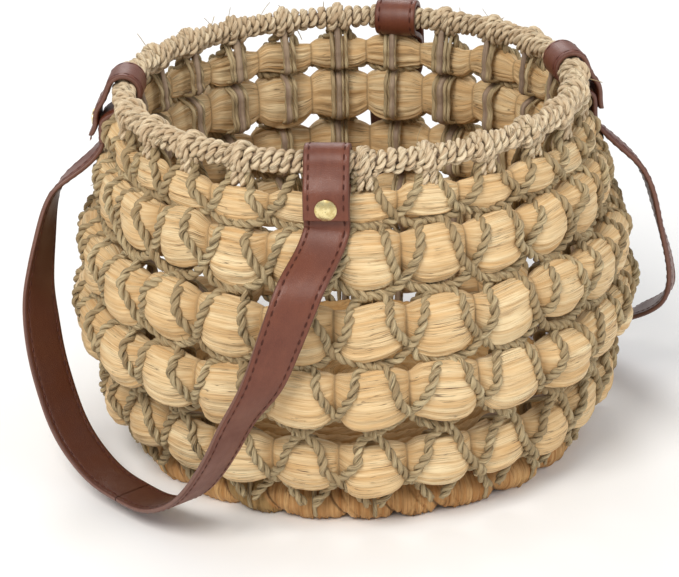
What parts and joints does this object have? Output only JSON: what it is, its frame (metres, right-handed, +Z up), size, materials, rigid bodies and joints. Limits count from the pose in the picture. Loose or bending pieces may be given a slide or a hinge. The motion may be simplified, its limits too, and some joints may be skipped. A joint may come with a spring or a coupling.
{
  "type": "egg collection basket",
  "caption": "Round belly-shaped woven basket of hyacinth rows netted with seagrass cord, open at the top, with leather carrying straps looped round the rim.",
  "frame": {"origin": "middle of the foot ring, on the ground", "axes": "+Z up, -Y towards the front strap, +X to the right of it"},
  "size_m": [0.2688, 0.2925, 0.1808],
  "materials": {
    "straw": "dry hyacinth fibre, matt",
    "grass": "twisted seagrass, matt",
    "foot": "orange-brown hyacinth, matt",
    "stick": "peeled stick, satin",
    "leather": "dyed leather, satin",
    "thread": "waxed thread",
    "brass": "polished"
  },
  "bodies": {
    "basket": {"base_coils": "straw", "foot_ring": "foot", "foot_lashings": "grass", "weft_row_1": "straw", "weft_row_2": "straw", "weft_row_3": "straw", "weft_row_4": "straw", "weft_row_5": "straw", "stake_sticks": "stick", "net_row_1": "grass", "net_row_2": "grass", "net_row_3": "grass", "net_row_4": "grass", "net_row_5": "grass", "rim_hoop": "stick", "rim_wrap": "grass", "rim_lashings": "grass"},
    "front_handle": {"front_strap": "leather", "front_strap_thread": "thread"},
    "back_handle": {"back_strap": "leather", "back_strap_thread": "thread"},
    "front_left_end": {"front_left_loop": "leather", "front_left_rivet": "brass", "front_left_burr": "brass"},
    "front_right_end": {"front_right_loop": "leather", "front_right_rivet": "brass", "front_right_burr": "brass"},
    "back_left_end": {"back_left_loop": "leather", "back_left_rivet": "brass", "back_left_burr": "brass"},
    "back_right_end": {"back_right_loop": "leather", "back_right_rivet": "brass", "back_right_burr": "brass"}
  },
  "joints": [
    {"name": "front_strap_swing", "type": "hinge", "parent": "basket", "child": "front_handle", "pos_m": [0, -0.07481, 0.172], "axis": [-1, 0, 0], "range_deg": [0, 178]},
    {"name": "back_strap_swing", "type": "hinge", "parent": "basket", "child": "back_handle", "pos_m": [-0.00615, 0.08798, 0.172], "axis": [0.9976, 0.0698, 0], "range_deg": [0, 184]},
    {"name": "front_left_twist", "type": "hinge", "parent": "front_handle", "child": "front_left_end", "pos_m": [-0.07224, -0.07481, 0.172], "axis": [0, 0, 1], "range_deg": [0, 88.5], "deforming": ["front_left_loop"]},
    {"name": "front_right_twist", "type": "hinge", "parent": "front_handle", "child": "front_right_end", "pos_m": [0.07224, -0.07481, 0.172], "axis": [0, 0, -1], "range_deg": [0, 88.5], "deforming": ["front_right_loop"]},
    {"name": "back_left_twist", "type": "hinge", "parent": "back_handle", "child": "back_left_end", "pos_m": [0.04883, 0.09183, 0.172], "axis": [0, 0, 1], "range_deg": [0, 64.5], "deforming": ["back_left_loop"]},
    {"name": "back_right_twist", "type": "hinge", "parent": "back_handle", "child": "back_right_end", "pos_m": [-0.06113, 0.08414, 0.172], "axis": [0, 0, -1], "range_deg": [0, 64.5], "deforming": ["back_right_loop"]}
  ],
  "couplings": [
    {"joint": "front_left_twist", "follows": "front_strap_swing", "ratio": 0.4944},
    {"joint": "front_right_twist", "follows": "front_strap_swing", "ratio": 0.4944},
    {"joint": "back_left_twist", "follows": "back_strap_swing", "ratio": 0.3478},
    {"joint": "back_right_twist", "follows": "back_strap_swing", "ratio": 0.3478}
  ]
}
